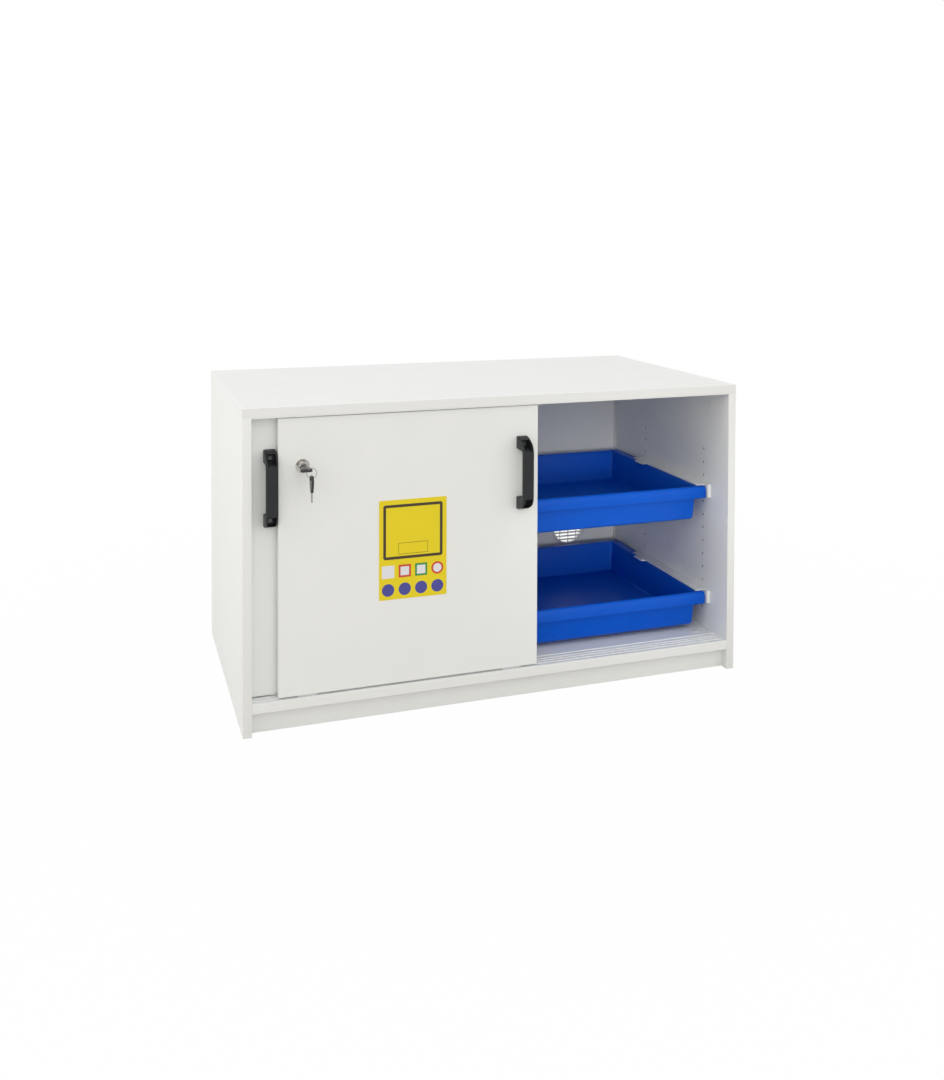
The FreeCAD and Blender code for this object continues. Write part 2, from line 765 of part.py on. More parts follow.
# A key is a metal blade with a tang in a moulded head; its slot for the ring leaves a web at each side
def make_key(prefix, turn, x, y, z):
    head = new_body(f"{prefix}_head")
    outline = new_sketch(head, "outline", "XY", "0 - bow_thickness / 2")
    half = "bow_width / 2"
    neck = "bow_neck / 2"
    polygon(outline, [
        (f"0 - {half}", "0 - bow_length"), (half, "0 - bow_length"), (half, "0 - bow_taper"),
        (neck, "0"), (f"0 - {neck}", "0"), (f"0 - {half}", "0 - bow_taper"),
    ])
    pad(outline, "bow_thickness")
    rounded(head, "bow_round", along="Z", Y="low")
    rounded(head, "bow_round", along="Z", Y=-value("bow_taper"))
    bevelled(head, "bow_edge", Z="low")
    bevelled(head, "bow_edge", Z="high")
    slot = new_sketch(head, "slot", "XY", "0 - bow_thickness / 2")
    side = "bow_width / 2 - bow_web"
    low = "bow_bar - bow_length"
    corner_box(slot, f"0 - ({side})", low, side, f"{low} + bow_slot", "slot_bevel")
    cut(slot, "bow_thickness")
    socket = new_sketch(head, "socket", "XY", "0 - blade_thickness / 2")
    box(socket, "0 - tang_width / 2", "0 - tang_length", "tang_width / 2", "0")
    cut(socket, "blade_thickness")
    blade = new_body(f"{prefix}_blade")
    steel = new_sketch(blade, "outline", "XY", "0 - blade_thickness / 2")
    edge = "blade_width / 2"
    corners = [("0 - tang_width / 2", "0 - tang_length"), ("tang_width / 2", "0 - tang_length"), ("tang_width / 2", "0")]
    corners.append((edge, "0"))
    for count in range(1, 5):
        bottom = f"blade_length - {count} * notch_pitch"
        corners.append((edge, f"blade_length - {5 - count} * notch_pitch - notch_pitch / 2"))
        corners.append((f"{edge} - notch_depth", f"blade_length - {5 - count} * notch_pitch"))
    corners.append((edge, "blade_length - notch_pitch / 2"))
    corners.append((f"{edge} - notch_depth", "blade_length"))
    corners.append((f"notch_depth - {edge}", "blade_length"))
    corners.append((f"0 - {edge}", "blade_length - notch_pitch / 2"))
    corners.append((f"0 - {edge}", "0"))
    corners.append(("0 - tang_width / 2", "0"))
    polygon(steel, corners)
    pad(steel, "blade_thickness")
    for piece in (head, blade):
        piece.Placement = FreeCAD.Placement(FreeCAD.Vector(), turn)
        place(piece, x, y, z)


def make_key_ring():
    # Wire with eight flats, turned about the ring's axis
    ring = new_body("key_ring")
    section = new_sketch(ring, "wire", "XY")
    eight_sided(section, "ring_radius", "0", "2 * ring_wire")
    feature = ring.newObject("PartDesign::Revolution", "turning")
    feature.Profile = section
    feature.ReferenceAxis = (section, ["V_Axis"])
    feature.Angle = 360
    doc.recompute()
    place(ring, ring_x, ring_y, ring_z)


def make_strike():
    left = f"({rear_door_rest} + door_width - strike_inset - strike_width)"
    plate = new_body("strike_plate")
    flat = new_sketch(plate, "outline", "XZ")
    box(flat, "0", "0 - strike_height / 2", "strike_width", "strike_height / 2")
    pad(flat, "strike_thickness")
    holes = [("strike_width / 2", f"0 {side} strike_spacing / 2") for side in "-+"]
    drill(plate, "XZ", "0", holes, "screw_diameter + 2 * fit", "strike_thickness")
    place(plate, left, f"{rear_setback} - strike_thickness", lock_z)
    screws = new_body("strike_screws")
    shanks = new_sketch(screws, "shanks", "XZ")
    for x, y in holes:
        eight_sided(shanks, x, y, "screw_diameter")
    pad(shanks, "strike_thickness + screw_bite")
    place(screws, left, f"{rear_setback} - strike_thickness", lock_z)
    return left


# Grille: a flanged ring through the back panel, with level slats and upright bars across it
def make_vent(name, x):
    body = new_body(name)
    clear = "(vent_clear / 2)"
    wall = f"({clear} + spigot_wall)"
    flange = new_sketch(body, "flange", "XZ", "0 - vent_flange")
    many_sided(flange, "vent_diameter / 2")
    pad(flange, "vent_flange")
    spigot = new_sketch(body, "spigot", "XZ")
    many_sided(spigot, wall)
    pad(spigot, "spigot_length")
    bore = new_sketch(body, "bore", "XZ", "0 - vent_flange")
    many_sided(bore, clear)
    cut(bore, "vent_flange + spigot_length")
    slats = new_sketch(body, "slats", "XZ", "0 - vent_flange")
    for count in range(4):
        inner = f"({count + 0.5} * slat_pitch - slat_height / 2)"
        half = f"sqrt(({clear} + spigot_wall / 4) ^ 2 - {inner} ^ 2)"
        box(slats, f"0 - {half}", inner, half, f"{inner} + slat_height")
        box(slats, f"0 - {half}", f"0 - {inner} - slat_height", half, f"0 - {inner}")
    pad(slats, "slat_thickness")
    bars = new_sketch(body, "bars", "XZ", "0 - slat_thickness")
    for count in (-1, 0, 1):
        middle = f"({count} * bar_pitch)"
        half = f"sqrt({clear} ^ 2 - {middle} ^ 2)"
        box(bars, f"{middle} - bar_width / 2", f"0 - {half}", f"{middle} + bar_width / 2", half)
    pad(bars, "slat_thickness")
    place(body, x, back_front, f"{deck} + vent_rise")
    return body


# Rails: a web on the wall, two arms that hold the tray's flange, a tab that keeps a pulled tray level
def make_rail(name, wall, side, row):
    body = new_body(name)

    def across(distance):
        return f"0 {side} ({distance})"

    def span(flat, near, low, far, high):
        ends = [across(near), across(far)]
        if side == "-":
            ends.reverse()
        box(flat, ends[0], low, ends[1], high)

    web = new_sketch(body, "web", "XZ", "rail_front")
    span(web, "0", "0 - rail_bottom", "rail_web", "rail_top")
    pad(web, "rail_end - rail_front")
    arms = new_sketch(body, "arms", "XZ", "arm_front")
    span(arms, "rail_web", "rail_top - arm_thickness", "upper_arm", "rail_top")
    span(arms, "rail_web", "lower_arm_top - arm_thickness", "lower_arm", "lower_arm_top")
    pad(arms, "rail_end - arm_front")
    tab = new_sketch(body, "tab", "XY", "rail_top - arm_thickness")
    span(tab, "upper_arm", "tab_start", "upper_arm + tab_reach", "tab_end")
    pad(tab, "arm_thickness")
    outer = "high" if side == "+" else "low"
    bevelled(body, "tab_bevel", along="Z", X=outer)
    plugs = new_sketch(body, "plugs", "YZ", "0 - plug_length" if side == "+" else "0")
    for column in hole_columns:
        eight_sided(plugs, column, "0", "hole_diameter - fit")
    pad(plugs, "plug_length")
    place(body, wall, "0", hole_level(row))
    return body


# Formed tray: a tapered tub under a flat rim, with a lip turned down at the front
def tub(body, step, sides, corner, height):
    # A tapered wall, and below it a foot that leans in at 45 degrees
    wall = new_sketch(body, "wall", "XY", "tray_wall")
    corner_box(wall, *sides, corner)
    step(wall, f"{height} - tray_foot", taper="tray_taper")
    narrow = f"({height} - tray_foot) * tan(tray_taper)"
    foot = new_sketch(body, "foot", "XY", f"tray_wall + tray_foot - {height}")
    inner = []
    for edge, way in zip(sides, ("+", "+", "-", "-")):
        inner.append(f"{edge} {way} {narrow}")
    corner_box(foot, *inner, f"({corner} - {narrow} * {mitre})")
    step(foot, "tray_foot", taper="foot_taper")


def make_tray(name, row):
    body = new_body(name)
    width = "(right_bay_width - 2 * rail_web - 2 * tray_side_gap)"
    rim = new_sketch(body, "rim", "XY")
    round_box(rim, "0", "0", width, "tray_depth", "rim_corner")
    pad(rim, "tray_wall")
    lip = new_sketch(body, "lip", "XY", "tray_wall - lip_height")
    box(lip, "rim_corner", "0", f"{width} - rim_corner", "lip_thickness")
    pad(lip, "lip_height")
    shell = ("side_flange", "front_flange", f"{width} - side_flange", "tray_depth - back_flange")
    hollow = []
    for edge, way in zip(shell, ("+", "+", "-", "-")):
        hollow.append(f"{edge} {way} tray_wall")
    tub(body, pad, shell, "tray_corner", "tray_height")
    tub(body, cut, hollow, "(tray_corner - tray_wall)", "(tray_height - tray_wall)")
    left = f"{partition_right} + rail_web + tray_side_gap"
    place(body, left, "tray_setback", f"{hole_level(row)} + lower_arm_top + slide_play")
    return body


make_side_panel("left_side_panel", True)
make_side_panel("right_side_panel", False)
make_top_panel()
make_bottom_panel()
make_plinth_board()
make_back_panel()
make_partition()
make_cam_fittings()
make_track("top_track", True)
make_track("bottom_track", False)
make_vent("left_vent_grille", "board + vent_inset")
make_vent("right_vent_grille", f"{right_wall} - vent_inset")
make_shelf()
make_shelf_pins()
for level, row in (("upper", "upper_row"), ("lower", "lower_row")):
    make_rail(f"{level}_left_rail", partition_right, "+", row)
    make_rail(f"{level}_right_rail", right_wall, "-", row)
    make_tray(f"{level}_tray", row)

front_door = make_door("front_door", "front_door_rest", "door_setback", "(door_width - handle_inset)")
lock_hole = [("lock_inset", "lock_rise")]
drill(front_door, "XZ", "0", lock_hole, "sleeve_diameter + 2 * fit", "door_thickness", circle)
rear_door = make_door("rear_door", rear_door_rest, rear_setback, "handle_inset")
strike_x = f"{make_strike()} - {rear_door_rest} + strike_width / 2"
strike_points = [(strike_x, f"lock_rise {side} strike_spacing / 2") for side in "-+"]
drill(rear_door, "XZ", "0", strike_points, "screw_diameter + fit", "screw_bite + fit")
make_glides("front_door_glides", "front_door_rest", front_centre)
make_glides("rear_door_glides", rear_door_rest, rear_centre)
front_handle_x = "front_door_rest + door_width - handle_inset"
rear_handle_x = f"{rear_door_rest} + handle_inset"
make_handle("front_handle", front_handle_x, "door_setback")
make_handle("rear_handle", rear_handle_x, rear_setback)
make_handle_screws("front_handle_screws", front_handle_x, "door_setback")
make_handle_screws("rear_handle_screws", rear_handle_x, rear_setback)

make_lock()
flat_turn = FreeCAD.Rotation()
hanging_turn = FreeCAD.Rotation(
    FreeCAD.Vector(0, 1, 0), FreeCAD.Vector(0, 0, -1), FreeCAD.Vector(-1, 0, 0), "XYZ")
make_key("key", flat_turn, lock_x, "door_setback - key_reach + bow_length", lock_z)
hang = "(ring_radius + bow_length - bow_bar - ring_wire - ring_play)"
make_key("spare_key", hanging_turn, ring_x, ring_y, f"{ring_z} - {hang}")
make_key_ring()
doc.recompute()

# Every object is sound before any file is written
pieces = [item for item in doc.Objects if item.TypeId == "PartDesign::Body"]
for item in doc.Objects:
    if "Invalid" in item.State or "Error" in item.State:
        raise RuntimeError(f"{item.Label} failed")
for piece in pieces:
    if piece.Shape.isNull() or not piece.Shape.isValid():
        raise RuntimeError(f"{piece.Label} has no sound shape")
for piece in pieces:
    piece.Shape.exportStep(f"parts/{piece.Label}.step")
print(len(pieces), "pieces written")
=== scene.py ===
import math

import bmesh
import bpy
from mathutils import Matrix, Vector


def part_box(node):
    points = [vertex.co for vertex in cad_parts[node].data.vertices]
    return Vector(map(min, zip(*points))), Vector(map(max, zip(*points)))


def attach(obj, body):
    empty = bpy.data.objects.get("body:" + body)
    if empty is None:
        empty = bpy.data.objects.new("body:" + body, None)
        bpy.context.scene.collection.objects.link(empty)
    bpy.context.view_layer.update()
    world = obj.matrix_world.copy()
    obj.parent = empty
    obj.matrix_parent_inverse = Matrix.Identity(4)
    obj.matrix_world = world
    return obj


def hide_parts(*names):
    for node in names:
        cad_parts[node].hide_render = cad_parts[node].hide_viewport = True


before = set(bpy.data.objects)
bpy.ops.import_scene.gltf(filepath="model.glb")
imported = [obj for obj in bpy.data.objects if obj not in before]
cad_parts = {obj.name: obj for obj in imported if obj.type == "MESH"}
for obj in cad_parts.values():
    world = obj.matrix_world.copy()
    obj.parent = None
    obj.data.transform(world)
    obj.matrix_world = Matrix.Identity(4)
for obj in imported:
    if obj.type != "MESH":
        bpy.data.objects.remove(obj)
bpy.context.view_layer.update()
mm = 0.001
print("frame loaded:", len(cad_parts), "nodes")


# Colours are sRGB hex values, turned to linear here
def hexColour(text):
    channels = [int(text[place:place + 2], 16) / 255 for place in (1, 3, 5)]
    linear = [c / 12.92 if c <= 0.04045 else ((c + 0.055) / 1.055) ** 2.4 for c in channels]
    return (*linear, 1.0)


# Adds one shader node: settings are its values, links are its inputs from other nodes' sockets
def addNode(tree, kind, settings=None, links=None):
    node = tree.nodes.new(kind)
    for key, value in (settings or {}).items():
        if key in node.inputs.keys() or isinstance(key, int):
            node.inputs[key].default_value = value
        elif key == "stops":
            while len(node.color_ramp.elements) < len(value):
                node.color_ramp.elements.new(0.5)
            for element, (place, colour) in zip(node.color_ramp.elements, value):
                element.position = place
                element.color = colour
        else:
            setattr(node, key, value)
    for key, socket in (links or {}).items():
        tree.links.new(socket, node.inputs[key])
    return node


def newMaterial(name):
    material = bpy.data.materials.new(name)
    material.use_nodes = True
    tree = material.node_tree
    tree.nodes.clear()
    output = addNode(tree, "ShaderNodeOutputMaterial")
    shader = addNode(tree, "ShaderNodeBsdfPrincipled")
    tree.links.new(shader.outputs[0], output.inputs[0])
    place = addNode(tree, "ShaderNodeTexCoord").outputs["Object"]
    return material, tree, shader, place


# Melamine faced chipboard with ABS edging: the faces have a fine pearl grain and a soft sheen,
# the edging is plain and a little glossier, and a hairline parts the two at each rounded corner
boardLook = {
    "face": "#f1f2f0", "faceDeep": "#eceeec", "edge": "#edeeec", "hairline": "#c9cac8",
    "faceRoughness": 0.42, "edgeRoughness": 0.30, "ior": 1.5,
    "grainSize": 1.2 * mm, "grainDepth": 0.05 * mm, "grainRelief": 0.35, "cloudSize": 90 * mm,
    "cornerTurn": (0.35, 0.4), "hairlineTurn": (0.80, 0.88, 0.965),
}


def makeMelamine(name, thicknessAxis, look=boardLook):
    material, tree, shader, place = newMaterial(name)
    normal = addNode(tree, "ShaderNodeNewGeometry").outputs["Normal"]
    parts = addNode(tree, "ShaderNodeSeparateXYZ", links={0: normal})
    facing = addNode(tree, "ShaderNodeMath", {"operation": "ABSOLUTE"}, {0: parts.outputs[thicknessAxis]})
    cloud = addNode(tree, "ShaderNodeTexNoise", {"Scale": 1 / look["cloudSize"], "Detail": 3.0},
                    {"Vector": place})
    grain = addNode(tree, "ShaderNodeTexNoise", {"Scale": 1 / look["grainSize"], "Detail": 4.0},
                    {"Vector": place})
    face = addNode(tree, "ShaderNodeMix", {"data_type": "RGBA", 6: hexColour(look["face"]),
                   7: hexColour(look["faceDeep"])}, {0: cloud.outputs[0]})
    white = (1, 1, 1, 1)
    black = (0, 0, 0, 1)
    # The corner's rounding turns from the edging (0) to the face (1), and the hairline lies near the face
    faceStops = list(zip(look["cornerTurn"], (black, white)))
    lineStops = list(zip(look["hairlineTurn"], (black, white, black)))
    isFace = addNode(tree, "ShaderNodeValToRGB", {"stops": faceStops}, {0: facing.outputs[0]})
    isLine = addNode(tree, "ShaderNodeValToRGB", {"stops": lineStops}, {0: facing.outputs[0]})
    both = addNode(tree, "ShaderNodeMix", {"data_type": "RGBA", 6: hexColour(look["edge"])},
                   {0: isFace.outputs[0], 7: face.outputs[2]})
    lined = addNode(tree, "ShaderNodeMix", {"data_type": "RGBA", 7: hexColour(look["hairline"])},
                    {0: isLine.outputs[0], 6: both.outputs[2]})
    tree.links.new(lined.outputs[2], shader.inputs["Base Color"])
    rough = addNode(tree, "ShaderNodeMapRange", {3: look["edgeRoughness"], 4: look["faceRoughness"]},
                    {0: isFace.outputs[0]})
    tree.links.new(rough.outputs[0], shader.inputs["Roughness"])
    bump = addNode(tree, "ShaderNodeBump", {"Strength": look["grainRelief"], "Distance": look["grainDepth"]},
                   {"Height": grain.outputs[0]})
    tree.links.new(bump.outputs[0], shader.inputs["Normal"])
    shader.inputs["IOR"].default_value = look["ior"]
    return material


# Moulded and formed plastics: one colour through and through, with a faint skin from the mould
# and slightly uneven gloss
plasticLooks = {
    "mouldedWhiteAcetal": {"colour": "#eef0ef", "deep": "#e6e8e7", "roughness": 0.34, "ior": 1.48,
                           "skinSize": 0.8 * mm, "skinDepth": 0.02 * mm},
    "formedBluePolypropylene": {"colour": "#005cd4", "deep": "#0055c8", "roughness": 0.31, "gloss": 0.2,
                                "ior": 1.49, "skinSize": 2.2 * mm, "skinDepth": 0.05 * mm},
    "mouldedAnthraciteNylon": {"colour": "#282b2c", "deep": "#232627", "roughness": 0.42, "gloss": 0.24,
                               "ior": 1.53, "skinSize": 0.7 * mm, "skinDepth": 0.06 * mm},
    "mouldedBlackHead": {"colour": "#232426", "deep": "#1c1d1f", "roughness": 0.26, "ior": 1.52,
                         "skinSize": 0.5 * mm, "skinDepth": 0.01 * mm},
}

# Printing inks on the card: flat colours with the even gloss of the plate
inkColours = {"printedYellow": ("#eed800", "#e8d000"), "printedUmber": ("#3e300a", "#382b09"),
              "printedWhite": ("#e9e9ec", "#e3e3e6"), "printedRed": ("#d2482c", "#c84229"),
              "printedGreen": ("#3f9443", "#398b3d"), "printedBlue": ("#48489c", "#424292")}
for name, (colour, deep) in inkColours.items():
    plasticLooks[name] = {"colour": colour, "deep": deep, "roughness": 0.32, "ior": 1.5,
                          "skinSize": 0.9 * mm, "skinDepth": 0.01 * mm}

# What all plastics share: broad clouds in tone and gloss, and how strong the skin's relief is
plasticSkin = {"cloudSize": 60 * mm, "glossSwing": 0.05, "relief": 0.4, "gloss": 0.5}


def makePlastic(name, shared=plasticSkin):
    look = plasticLooks[name]
    material, tree, shader, place = newMaterial(name)
    cloud = addNode(tree, "ShaderNodeTexNoise", {"Scale": 1 / shared["cloudSize"], "Detail": 4.0},
                    {"Vector": place})
    skin = addNode(tree, "ShaderNodeTexNoise", {"Scale": 1 / look["skinSize"], "Detail": 3.0},
                   {"Vector": place})
    tone = addNode(tree, "ShaderNodeMix", {"data_type": "RGBA", 6: hexColour(look["colour"]),
                   7: hexColour(look["deep"])}, {0: cloud.outputs[0]})
    tree.links.new(tone.outputs[2], shader.inputs["Base Color"])
    swing = shared["glossSwing"]
    rough = addNode(tree, "ShaderNodeMapRange", {3: look["roughness"] - swing, 4: look["roughness"] + swing},
                    {0: cloud.outputs[0]})
    tree.links.new(rough.outputs[0], shader.inputs["Roughness"])
    bump = addNode(tree, "ShaderNodeBump", {"Strength": shared["relief"], "Distance": look["skinDepth"]},
                   {"Height": skin.outputs[0]})
    tree.links.new(bump.outputs[0], shader.inputs["Normal"])
    shader.inputs["IOR"].default_value = look["ior"]
    shader.inputs["Specular IOR Level"].default_value = look.get("gloss", shared["gloss"])
    return material


# Metals: plated zinc and steel, with fine wear that breaks up the gloss
metalLooks = {
    # Chrome plate, its colour darkened as a painted dark reflection, since the white stage gives it nothing
    # dark to mirror
    "chromePlatePaintedDarkReflection": {"colour": "#b9b5b0", "roughness": 0.10, "wearSize": 3 * mm, "wear": 0.10},
    # Nickel plate, its colour darkened as a painted dark reflection on the lock core, key blades and ring
    "nickelSteelPaintedDarkReflection": {"colour": "#a39f99", "roughness": 0.24, "wearSize": 1.5 * mm, "wear": 0.14},
    "zincPlatedSteel": {"colour": "#bfc1c2", "roughness": 0.34, "wearSize": 2 * mm, "wear": 0.16},
    # Zinc-plated steel for the handle screws, its colour darkened as painted shade for the shadow they sit in
    # inside the handles' windows
    "zincSteelPaintedShade": {"colour": "#5c5e60", "roughness": 0.36, "wearSize": 2 * mm, "wear": 0.12},
    "dieCastZinc": {"colour": "#9b9d9e", "roughness": 0.48, "wearSize": 1 * mm, "wear": 0.15},
}


def makeMetal(name):
    look = metalLooks[name]
    material, tree, shader, place = newMaterial(name)
    wear = addNode(tree, "ShaderNodeTexNoise", {"Scale": 1 / look["wearSize"], "Detail": 5.0},
                   {"Vector": place})
    rough = addNode(tree, "ShaderNodeMapRange", {3: look["roughness"], 4: look["roughness"] + look["wear"]},
                    {0: wear.outputs[0]})
    tree.links.new(rough.outputs[0], shader.inputs["Roughness"])
    shader.inputs["Base Color"].default_value = hexColour(look["colour"])
    shader.inputs["Metallic"].default_value = 1.0
    return material


# Raw chipboard, where a drill has opened the core: brown pressed chips, matt and rough
chipboardLook = {"chip": "#8c7355", "gap": "#5d4931", "chipSize": 2.5 * mm, "roughness": 0.9}


def makeChipboard(name, look=chipboardLook):
    material, tree, shader, place = newMaterial(name)
    chips = addNode(tree, "ShaderNodeTexVoronoi", {"Scale": 1 / look["chipSize"]}, {"Vector": place})
    tone = addNode(tree, "ShaderNodeMix", {"data_type": "RGBA", 6: hexColour(look["chip"]),
                   7: hexColour(look["gap"])}, {0: chips.outputs["Distance"]})
    tree.links.new(tone.outputs[2], shader.inputs["Base Color"])
    shader.inputs["Roughness"].default_value = look["roughness"]
    return material


materials = {f"melamineBoard{axis}": makeMelamine(f"melamineBoard{axis}", axis) for axis in "XYZ"}
materials.update({name: makePlastic(name) for name in plasticLooks})
materials.update({name: makeMetal(name) for name in metalLooks})
materials["rawChipboard"] = makeChipboard("rawChipboard")

nodeFinishes = {
    "melamineBoardX": ["left_side_panel", "right_side_panel", "centre_partition"],
    "melamineBoardY": ["front_door", "rear_door", "plinth_board", "back_panel"],
    "melamineBoardZ": ["top_panel", "bottom_panel", "adjustable_shelf"],
    "mouldedWhiteAcetal": ["top_track", "bottom_track", "left_vent_grille", "right_vent_grille", "cam_caps",
                           "upper_left_rail", "upper_right_rail", "lower_left_rail", "lower_right_rail",
                           "front_door_glides", "rear_door_glides"],
    "formedBluePolypropylene": ["upper_tray", "lower_tray"],
    "mouldedAnthraciteNylon": ["front_handle", "rear_handle"],
    "mouldedBlackHead": ["key_head", "spare_key_head"],
    "chromePlatePaintedDarkReflection": ["lock_housing", "lock_plunger"],
    "nickelSteelPaintedDarkReflection": ["lock_core", "key_blade", "spare_key_blade", "key_ring"],
    # The handle screws take the zinc colour with painted shade darkening it
    "zincSteelPaintedShade": ["front_handle_screws", "rear_handle_screws"],
    "zincPlatedSteel": ["cam_bolts", "shelf_pins", "strike_plate", "strike_screws"],
    "dieCastZinc": ["cam_housings"],
}
for finish, nodes in nodeFinishes.items():
    for node in nodes:
        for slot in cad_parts[node].material_slots:
            slot.material = materials[finish]
print("finishes set:", len(materials))


def addPiece(name, mesh, material, body, stands=()):
    piece = bpy.data.objects.new(name, mesh)
    bpy.context.collection.objects.link(piece)
    mesh.materials.append(materials[material])
    for polygon in mesh.polygons:
        polygon.use_smooth = True
    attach(piece, body)
    if stands:
        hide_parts(*stands)
    return piece


# The points of a box outline with rounded corners, as many for every radius
def boxOutline(left, low, right, high, radius, steps=6):
    corners = [(right - radius, low + radius, -90), (right - radius, high - radius, 0),
               (left + radius, high - radius, 90), (left + radius, low + radius, 180)]
    points = []
    for x, y, start in corners:
        for step in range(steps + 1):
            turn = math.radians(start + 90 * step / steps)
            points.append((x + radius * math.cos(turn), y + radius * math.sin(turn)))
    return points


# A skin over rings of points in millimetres, each ring joined to the next and the two ends filled
def skin(rings, capped=True, looped=False):
    shape = bmesh.new()
    lines = [[shape.verts.new(Vector(point) * mm) for point in ring] for ring in rings]
    pairs = list(zip(lines, lines[1:]))
    if looped:
        pairs.append((lines[-1], lines[0]))
    for one, two in pairs:
        for step in range(len(one)):
            following = (step + 1) % len(one)
            shape.faces.new((one[step], one[following], two[following], two[step]))
    if capped and not looped:
        shape.faces.new(lines[0])
        shape.faces.new(lines[-1])
    bmesh.ops.recalc_face_normals(shape, faces=shape.faces)
    mesh = bpy.data.meshes.new("skin")
    shape.to_mesh(mesh)
    shape.free()
    return mesh


# Rounds every edge sharper than the angle
def roundEdges(piece, width, steps=3, angle=35):
    bevel = piece.modifiers.new("rounded", "BEVEL")
    bevel.width = width * mm
    bevel.segments = steps
    bevel.limit_method = "ANGLE"
    bevel.angle_limit = math.radians(angle)
    bevel.harden_normals = True


# Cuts other meshes out of a piece for good, so that a later rounding finds the new edges
def carve(piece, tools):
    for mesh in tools:
        tool = bpy.data.objects.new("cutter", mesh)
        bpy.context.collection.objects.link(tool)
        cut = piece.modifiers.new("carved", "BOOLEAN")
        cut.operation = "DIFFERENCE"
        cut.solver = "EXACT"
        cut.object = tool
        bpy.context.view_layer.update()
        cutShape = bpy.data.meshes.new_from_object(piece.evaluated_get(bpy.context.evaluated_depsgraph_get()))
        piece.modifiers.clear()
        piece.data = cutShape
        bpy.data.objects.remove(tool)


def cylinder(centre, axis, radius, length, steps=24):
    ends = []
    for along in (0, length):
        ring = []
        for step in range(steps):
            turn = 2 * math.pi * step / steps
            around = [radius * math.cos(turn), radius * math.sin(turn)]
            around.insert(axis, along)
            ring.append([a + b for a, b in zip(centre, around)])
        ends.append(ring)
    return skin(ends)


# Trays: one formed sheet, with a draught on the walls, a rounded foot and a lip folded down at the front
trayLook = {"wall": 3, "draught": 4, "corner": 9, "foot": 8, "side": 19, "front": 9, "back": 13.5,
            "rimCorner": 6, "rimRound": 1.4, "throat": 2.5, "lipRoll": 17, "lipDrop": 27.8, "lipWall": 3,
            "hemCurve": ((0, 1.4), (0.4, 0.4), (1.4, 0), (2, 0), (3, 1)),
            "lipEnds": ((0.4, 1.2), (1.0, 0.4), (2.2, 0), (-2.2, 0), (-1.0, 0.4), (-0.4, 1.2))}


def makeTray(level):
    look = trayLook
    tray = f"{level}_tray"
    low, high = [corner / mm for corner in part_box(tray)]
    floorDepth = high.z - low.z

    def rim(inset, depth):
        box = (low.x + inset, low.y + look["front"] - 1, high.x - inset, high.y - inset)
        return [(x, y, high.z - depth) for x, y in boxOutline(*box, look["rimCorner"])]

    def wall(inset, depth):
        step = inset + depth * math.tan(math.radians(look["draught"]))
        box = (low.x + look["side"] + step, low.y + look["front"] + step,
               high.x - look["side"] - step, high.y - look["back"] - step)
        return [(x, y, high.z - depth) for x, y in boxOutline(*box, max(look["corner"] - inset, 1))]

    def foot(inset, bottom):
        radius = look["foot"] - inset
        rings = []
        for step in range(6):
            turn = math.radians(90 * step / 5)
            rings.append(wall(inset + radius * (1 - math.cos(turn)), bottom - radius * (1 - math.sin(turn))))
        return rings

    thick = look["wall"]
    throat = look["throat"]
    inner = foot(thick, floorDepth - thick)
    inner.reverse()
    for turn in (0, 30, 60, 90):
        bend = math.radians(turn)
        inner.append(wall(thick - throat * (1 - math.cos(bend)), throat * (1 - math.sin(bend))))
    edge = []
    for turn in (0, 45, 90):
        bend = math.radians(turn)
        edge.append(rim(look["rimRound"] * (1 - math.sin(bend)), look["rimRound"] * (1 - math.cos(bend))))
    under = [rim(0, thick), wall(-throat, thick), wall(-throat * 0.3, thick + throat * 0.3),
             wall(0, thick + throat)]
    mesh = skin(inner + edge + under + foot(0, floorDepth))
    addPiece(f"{level}TrayShell", mesh, "formedBluePolypropylene", tray, [tray])

    # The lip: its section rolls over from the tub's front wall and hangs down to a rounded hem
    roll = look["front"]
    bow = look["lipRoll"]
    hem = look["lipWall"]
    drop = look["lipDrop"]
    section = []
    for turn in range(0, 91, 10):
        lean = math.radians(turn)
        section.append((roll - roll * math.sin(lean), bow * math.cos(lean) - bow))
    section += [(y, rise - drop) for y, rise in look["hemCurve"]]
    for turn in range(90, -1, -30):
        lean = math.radians(turn)
        section.append((roll - (roll - hem) * math.sin(lean), (bow - hem) * math.cos(lean) - bow))
    rings = []
    for place, shrink in look["lipEnds"]:
        side = low.x + place if place > 0 else high.x + place
        rings.append([(side, low.y + max(y, shrink), high.z + min(max(z, shrink - drop), -shrink / 2))
                      for y, z in section])
    addPiece(f"{level}TrayLip", skin(rings), "formedBluePolypropylene", tray)


for level in ("upper", "lower"):
    makeTray(level)
print("trays made")

# Handles: a moulded bridge, its ends sloped and sunk in the middle, where the screws sit
handleLook = {"foot": 28, "flat": 9, "slope": 16, "shoulder": 34, "bend": 28, "grip": 10, "edge": 3,
              "windowWidth": 18, "windowFrom": 6.5, "windowTo": 32, "windowFloor": 10, "windowEnd": 21,
              "gripSkin": 3.5, "overcut": 8, "bore": 4.4, "screwEdge": 16, "windowEdge": 0.4,
              "slopeShare": 0.6}


# Rounds the corners of a flat outline: each corner is (x, y, radius)
def roundCorners(corners, steps=8):
    points = []
    for before, corner, after in zip(corners[-1:] + corners[:-1], corners, corners[1:] + corners[:1]):
        here = Vector(corner[:2])
        if not corner[2]:
            points.append(here)
            continue
        one = (Vector(before[:2]) - here).normalized()
        two = (Vector(after[:2]) - here).normalized()
        half = one.angle(two) / 2
        reach = corner[2] / math.tan(half)
        centre = here + (one + two).normalized() * corner[2] / math.sin(half)
        start = here + one * reach - centre
        end = here + two * reach - centre
        sweep = start.angle_signed(end)
        for step in range(steps + 1):
            points.append(centre + Matrix.Rotation(-sweep * step / steps, 2) @ start)
    return points


